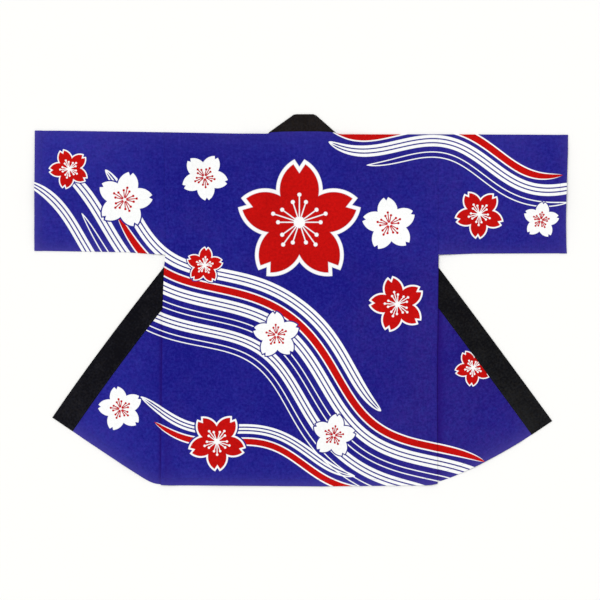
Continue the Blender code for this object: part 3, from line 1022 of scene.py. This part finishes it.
def slubs(place):
    """Uneven threads, from 0 to 1: streaks along the grain and across it."""
    warp = mapped(place, "POINT", Scale=(900.0, 28.0, 1.0))
    weft = mapped(place, "POINT", Scale=(34.0, 800.0, 1.0))
    return noise(warp, 1.0, 2.0, 0.6) * 0.55 + noise(weft, 1.0, 2.0, 0.6) * 0.45


# The print. Streams are bundles of lines along a slow wave, drawn out to points at both ends: a
# place, x, height, heading, length, the wave's height, length and start, and each line's offset,
# width, kind, and the shares of the stream where it begins and ends
STREAMS = (
    ("across the back", -0.7, 0.335, -36.0, 1.46, 0.046, 0.66, 0.6, (
        (0.082, 0.029, "white", 0.13, 0.74),
        (0.046, 0.0165, "red", 0.19, 0.93),
        (0.01, 0.029, "white", 0.06, 1.0),
        (-0.026, 0.017, "hollow", 0.14, 0.97),
        (-0.06, 0.027, "white", 0.03, 0.9),
        (-0.094, 0.016, "hollow", 0.17, 1.0),
    )),
    ("over the right sleeve", 0.03, 0.42, -12.0, 0.72, 0.034, 0.46, 3.4, (
        (0.034, 0.016, "red", 0.0, 0.86),
        (0.0, 0.028, "white", 0.06, 1.0),
        (-0.034, 0.016, "hollow", 0.2, 0.9),
    )),
    ("beside the left hem", -0.4, -0.262, -17.0, 0.62, 0.022, 0.4, 2.6, (
        (0.016, 0.023, "white", 0.0, 0.9),
        (-0.015, 0.014, "red", 0.08, 1.0),
    )),
)
LINE_TIP = 0.11
LINE_POINT = 0.001

# Blossoms: a place, x, height, size, turn, and 1 for red petals
BLOSSOMS = (
    ("middle of the back", -0.004, 0.19, 0.14, 18.0, 1.0),
    ("left sleeve, cuff", -0.565, 0.32, 0.046, 40.0, 1.0),
    ("left sleeve", -0.43, 0.245, 0.062, 5.0, 0.0),
    ("left shoulder", -0.235, 0.3, 0.052, 60.0, 0.0),
    ("right shoulder", 0.215, 0.185, 0.06, 25.0, 0.0),
    ("right sleeve", 0.435, 0.21, 0.056, 50.0, 1.0),
    ("right sleeve, cuff", 0.585, 0.195, 0.04, 10.0, 0.0),
    ("right side", 0.235, -0.01, 0.064, 33.0, 1.0),
    ("left side", -0.235, 0.085, 0.042, 12.0, 1.0),
    ("left of the hem", -0.205, -0.345, 0.066, 55.0, 1.0),
    ("middle of the stream", -0.06, -0.085, 0.052, 22.0, 0.0),
    ("right of the hem", 0.08, -0.33, 0.048, 8.0, 0.0),
    ("left wing", -0.44, -0.265, 0.05, 30.0, 0.0),
    ("right wing", 0.42, -0.165, 0.042, 48.0, 1.0),
)
PETAL_EDGE = 0.012


def stream_print(x, up, stream):
    """(white, red) of a stream: the distance from a sine wave, cut into lines at set offsets."""
    _, from_x, from_up, heading, length, amplitude, wave, start, lines = stream
    cosine, sine = direction(heading)
    along = x * cosine + up * sine - (from_x * cosine + from_up * sine)
    aside = up * cosine - x * sine - (from_up * cosine - from_x * sine)
    rate = 2.0 * np.pi / wave
    phase = along * rate + start
    slope = maths("COSINE", phase) * (amplitude * rate)
    steep = maths("SQRT", slope * slope + 1.0)
    away = (aside - maths("SINE", phase) * amplitude) / steep
    white, red = 0.0, 0.0
    for offset, width, kind, begin, end in lines:
        to_end = least(along - begin * length, end * length - along)
        short = 1.0 - clamped(to_end / LINE_TIP)
        rounded = maths("SQRT", 1.0 - short * short)
        half = rounded * (width / 2 + LINE_POINT) - LINE_POINT
        beside = abs(away - offset)
        edge = beside - half
        if kind == "white":
            slim = least((half - 0.0045) * 0.5, 0.0016)
            thread = abs(beside - half * 0.36) - slim
            white = most(white, least(printed(edge), 1.0 - printed(thread)))
        elif kind == "hollow":
            white = most(white, printed(abs(edge + 0.0016) - 0.0013))
        else:
            inner = printed(edge)
            white = most(white, printed(edge - rounded * 0.0044 + 0.001) - inner)
            red = most(red, inner)
    return white, red


def blossom_print(place):
    """(clear, white, red) of the nearest blossom: five petals, folded into one half petal.

    clear also takes in a narrow ring of bare cloth that parts it from the streams.
    """
    best, kind, size, local = 99.0, 0.0, 0.0, (99.0, 99.0, 0.0)
    for _, x, up, across, turn, is_red in BLOSSOMS:
        turned = (0.0, 0.0, np.radians(turn))
        scaled = (across, across, 1.0)
        own = mapped(place, "TEXTURE", Location=(x, up, 0.0), Rotation=turned, Scale=scaled)
        flat = vector("MULTIPLY", own, (1.0, 1.0, 0.0))
        reach = vector("LENGTH", flat, result="Value")
        nearer = maths("LESS_THAN", reach, best)
        local = mixed(nearer, local, flat, "Vector")
        kind = nearer * (is_red - kind) + kind
        size = nearer * (across - size) + size
        best = least(reach, best)
    x, y, _ = parts(local)
    sector = 2.0 * np.pi / 5.0
    fold = abs(maths("FRACT", maths("ARCTAN2", y, x) / sector + 5.5) - 0.5) * sector
    px = maths("COSINE", fold) * best
    py = maths("SINE", fold) * best

    def from_point(a, b):
        return maths("SQRT", (px - a) ** 2.0 + (py - b) ** 2.0)

    petal = most(from_point(0.56, -0.2) - 0.585, (px - 0.93 - py * 1.5) / 1.8)
    clear = printed(petal - 0.075, PETAL_EDGE)
    inside = printed(petal - 0.02, PETAL_EDGE)
    fill = printed(petal + 0.045, PETAL_EDGE)
    heart = printed(best - 0.1, PETAL_EDGE)
    thread = 0.0008 / size + 0.006
    tip = 0.0012 / size + 0.028
    middle_thread = least(most(py - thread, px - 0.48), from_point(0.48, 0.0) - tip)
    cosine, sine = direction(18.0)
    qx = px * cosine + py * sine
    qy = abs(py * cosine - px * sine)
    side_tip = maths("SQRT", (qx - 0.37) ** 2.0 + qy**2.0) - tip
    side_thread = least(most(qy - thread, qx - 0.37), side_tip)
    marks = least(most(printed(least(middle_thread, side_thread), 0.01), heart), fill)
    red = kind * most(fill - marks, 0.0) + (1.0 - kind) * marks
    return clear, most(inside - red, 0.0), red


# Pairs of colours, at the dark end and at the light end of what each cloth and ink shows
COOL_BLUES = ((0.0065, 0.005, 0.19), (0.028, 0.0275, 0.318))
WARM_BLUES = ((0.013, 0.0065, 0.168), (0.036, 0.028, 0.288))
BLUE_FLECKS = ((0.72, 1.2, 1.01), (1.28, 0.8, 0.99))
WHITE_INKS = ((0.86, 0.87, 0.86), (0.98, 0.985, 0.975))
RED_INKS = ((0.4, 0.0004, 0.0002), (0.62, 0.0024, 0.0012))
BLACKS = ((0.0018, 0.0017, 0.003), (0.0125, 0.0124, 0.0128))
WARM_BLACKS = ((0.0075, 0.005, 0.0043), (0.0175, 0.0128, 0.0121))
BLACK_FLECKS = ((0.86, 1.0, 1.24), (1.14, 1.0, 0.76))
BLUE_THREADS = ((0.01, 0.008, 0.1), (0.03, 0.026, 0.26))
BLACK_THREADS = ((0.004, 0.004, 0.005), (0.022, 0.022, 0.024))
# The colour that painted shade goes to, then the paler colour of worn edges
SHADED_BLUE = (0.015, 0.001, 0.15)
WORN_BLUE = (0.066, 0.052, 0.295)
COOL_TINT = (1.05, 0.98, 1.55)
FLOOR_COLOUR = (0.94, 0.935, 0.915)


def make_blue(name):
    """Blue cotton with its print: slow fading, uneven threads, a plain weave, painted shade, ink on
    the face.
    """
    recipe = Recipe(bpy.data.materials.new(name))
    place = recipe.object_place()
    grain = recipe.cloth_place()
    x, up, _ = parts(place)
    fade = noise(place, 4.5, 3.0, 0.55)
    tint = noise(place, 9.0, 3.0, 0.6)
    mottle = noise(grain, 150.0, 3.0, 0.65)
    fine = noise(grain, 420.0, 2.0, 0.6)
    blotch = noise(grain, 42.0, 2.0, 0.6)
    fleck = noise(grain, 66.0, 4.0, 0.85)
    thread = slubs(grain)
    woven = weave(grain, 0.0009)

    upper_right = ramp(x, 0.12, 0.32) * ramp(up, 0.02, 0.12)
    light = 0.22 + ramp(up, -0.2, -0.45) * 0.2 + ramp(x, -0.3, -0.54) * 0.34 + upper_right * 0.2
    noises = ((fade, 0.75), (mottle, 1.7), (fine, 0.65), (blotch, 0.55))
    light = stirred(light, *noises, (thread, 0.85), (woven, 0.14))
    right = ramp(x, 0.04, 0.34) * (1.0 - ramp(up, 0.06, 0.12) * 0.5)
    right = stirred(right, (tint, 2.2))
    blue = mixed(right, mixed(light, *COOL_BLUES), mixed(light, *WARM_BLUES))
    flecked = mixed(stirred(0.5, (fleck, 2.2)), *BLUE_FLECKS)
    blue = vector("MULTIPLY", blue, flecked)
    # Painted shade from the shade marks: seams, allowances, troughs and the wing beside the body
    blue = mixed(recipe.attribute("shade"), blue, SHADED_BLUE)
    blue = mixed(recipe.attribute("pale") * 0.7, blue, WORN_BLUE)

    white, red = 0.0, 0.0
    for stream in STREAMS:
        more_white, more_red = stream_print(x, up, stream)
        red = most(red * (1.0 - more_white), more_red)
        white = most(white * (1.0 - more_red), more_white)
    clear, petal_white, petal_red = blossom_print(place)
    white = most(white * (1.0 - clear), petal_white)
    red = most(red * (1.0 - clear), petal_red)

    strength = recipe.attribute("outside") * 0.65 + 0.35
    strength = strength * (1.0 - clamped((thread - 0.6) * 1.2) * 0.25)
    ink = stirred(0.5, (mottle, 1.8), (fade, 1.2), (thread, 0.8))
    colour = mixed(white * strength, blue, mixed(ink, *WHITE_INKS))
    colour = mixed(red * strength, colour, mixed(ink, *RED_INKS))
    roughness = 0.9 - most(white, red) * 0.12 - (woven - 0.5) * 0.06
    return recipe.cotton(colour, roughness, woven * 0.6 + thread * 0.8 + mottle * 0.5, 0.02)


def make_black(name):
    """Matt black cotton of the collar: a closer weave, lighter at its ends and warm at the neck."""
    recipe = Recipe(bpy.data.materials.new(name))
    grain = recipe.cloth_place()
    x, up, _ = parts(recipe.object_place())
    mottle = noise(grain, 190.0, 3.0, 0.6)
    blotch = noise(grain, 17.0, 3.0, 0.65)
    fleck = noise(grain, 110.0, 3.0, 0.8)
    thread = slubs(grain)
    woven = weave(grain, 0.0008)

    ends = ramp(up, -0.12, -0.28) * 0.34 + ramp(up, 0.36, 0.44) * 0.22
    light = 0.08 + ends + ramp(x, -0.4, 0.4) * 0.2
    light = stirred(light, (mottle, 2.4), (thread, 1.2), (woven, 0.3), (blotch, 1.6))
    flecked = mixed(stirred(0.5, (fleck, 2.4)), *BLACK_FLECKS)
    colour = vector("MULTIPLY", mixed(light, *BLACKS), flecked)
    cool = ramp(x, -0.1, -0.3) * 0.45
    colour = mixed(cool, colour, vector("MULTIPLY", colour, COOL_TINT))
    warm = vector("MULTIPLY", mixed(light, *WARM_BLACKS), flecked)
    colour = mixed(ramp(up, 0.38, 0.41) * 0.7, colour, warm)
    roughness = 0.86 - (woven - 0.5) * 0.08
    return recipe.cotton(colour, roughness, woven * 0.7 + thread * 0.7 + mottle * 0.3, 0.01)


def make_thread(name, colours):
    """Sewing thread: fine twist along each stitch."""
    recipe = Recipe(bpy.data.materials.new(name))
    twist = noise(recipe.object_place(), 2600.0, 1.0, 0.5)
    colour = mixed(twist, *colours)
    return recipe.shade({"Base Color": colour, "Roughness": 0.6, "Specular IOR Level": 0.3})


def make_floor():
    """A plain pale floor under the coat."""
    recipe = Recipe(bpy.data.materials.new("pale_floor"))
    matt = {"Base Color": FLOOR_COLOUR, "Roughness": 0.95, "Specular IOR Level": 0.05}
    half = 30.0
    mesh = bpy.data.meshes.new("floor")
    corners = [(-half, -half, 0.0), (half, -half, 0.0), (half, half, 0.0), (-half, half, 0.0)]
    mesh.from_pydata(corners, [], [(0, 1, 2, 3)])
    mesh.materials.append(recipe.shade(matt))
    placed("floor", mesh)


def make_light():
    """Even light from all round, brighter low down, and one broad soft lamp from the upper left."""
    world = bpy.data.worlds.new("studio")
    sky = Recipe(world, "ShaderNodeBackground", "ShaderNodeOutputWorld")
    height = parts(sky.node("ShaderNodeTexCoord", {}, {}, "Generated"))[2]
    levels = {"Value": height, "From Max": 0.6, "To Min": 1.05, "To Max": 0.62}
    strength = sky.node("ShaderNodeMapRange", {}, levels, "Result")
    bpy.context.scene.world = sky.shade({"Color": (1.0, 1.0, 1.0), "Strength": strength})
    lamp = bpy.data.lights.new("softbox", "SUN")
    lamp.angle = np.radians(28.0)
    lamp.energy = 1.45
    holder = placed("softbox", lamp)
    holder.location = (-0.9, 0.9, 2.2)
    holder.rotation_mode = "QUATERNION"
    holder.rotation_quaternion = (-holder.location).to_track_quat("-Z", "Y")


# The photograph's frame: metres to a pixel, the pixel over the coat's origin, and the lens
PIXEL = 0.00244
FRAME_PIXELS = 600
ORIGIN_PIXEL = (301.0, 300.16)
LENS = 110.0
SENSOR = 36.0


def make_camera():
    """Straight above the coat, as far up as its lens needs for the photograph's frame."""
    camera = bpy.data.cameras.new("camera")
    camera.lens = LENS
    camera.sensor_width = SENSOR
    camera.clip_end = 100.0
    holder = placed("camera", camera)
    x = (FRAME_PIXELS / 2 - ORIGIN_PIXEL[0]) * PIXEL
    up = (ORIGIN_PIXEL[1] - FRAME_PIXELS / 2) * PIXEL
    holder.location = (x, up, PIXEL * FRAME_PIXELS / SENSOR * LENS)
    bpy.context.scene.camera = holder


def make_coat():
    """Every piece of the coat, with what each sheet was cut to."""
    blue = make_blue("blue_cotton")
    black = make_black("black_cotton")
    blue_thread = make_thread("blue_thread", BLUE_THREADS)
    black_thread = make_thread("black_thread", BLACK_THREADS)
    back, back_hem = make_back(blue)
    hems = [back_hem]
    fronts = []
    sleeves = []
    for side in (LEFT, RIGHT):
        for make, pieces in ((make_front, fronts), (make_sleeve, sleeves)):
            piece, line = make(side, blue)
            pieces.append(piece)
            hems.append(line)
    collar, line = make_collar(black)
    runs = [line[line[:, 0] < -COLLAR_SHOWS], line[line[:, 0] > COLLAR_SHOWS]]
    hem_stitches = make_stitches("hem_stitches", hems, blue_thread)
    collar_stitches = make_stitches("collar_stitches", runs, black_thread)


make_coat()
make_floor()
make_light()
make_camera()
bpy.context.scene.view_settings.view_transform = "Standard"
